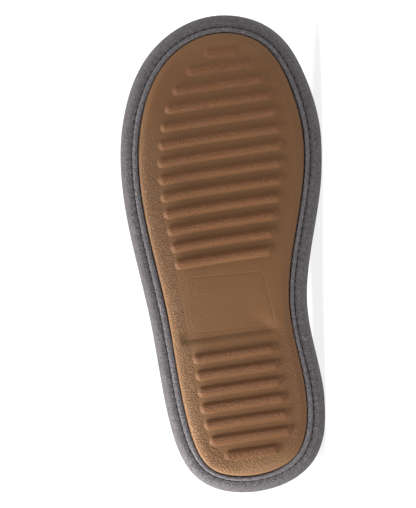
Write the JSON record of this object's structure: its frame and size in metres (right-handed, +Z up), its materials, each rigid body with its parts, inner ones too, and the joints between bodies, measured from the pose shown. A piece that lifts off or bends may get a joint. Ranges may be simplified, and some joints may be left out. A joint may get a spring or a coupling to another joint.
{
  "type": "house slipper",
  "caption": "Closed slip-on house slipper for the right foot, with a padded grey cloth upper and a ribbed tan rubber outsole, lying on its inner side.",
  "frame": {"origin": "middle of the underside of the lying slipper's bounding box, on the floor", "axes": "+Z is up, +X points along the slipper to the toe, and the sole faces -Y, tilted up a little"},
  "size_m": [0.2502, 0.0682, 0.104],
  "materials": {
    "grey_suede": "brushed microfibre suede",
    "pale_fleece": "short fleece",
    "tan_rubber": "matt moulded rubber with a pebbled grain"
  },
  "bodies": {
    "root": {"upper": "grey_suede", "sole_panel": "grey_suede", "insole": "pale_fleece", "outsole": "tan_rubber"}
  },
  "joints": []
}
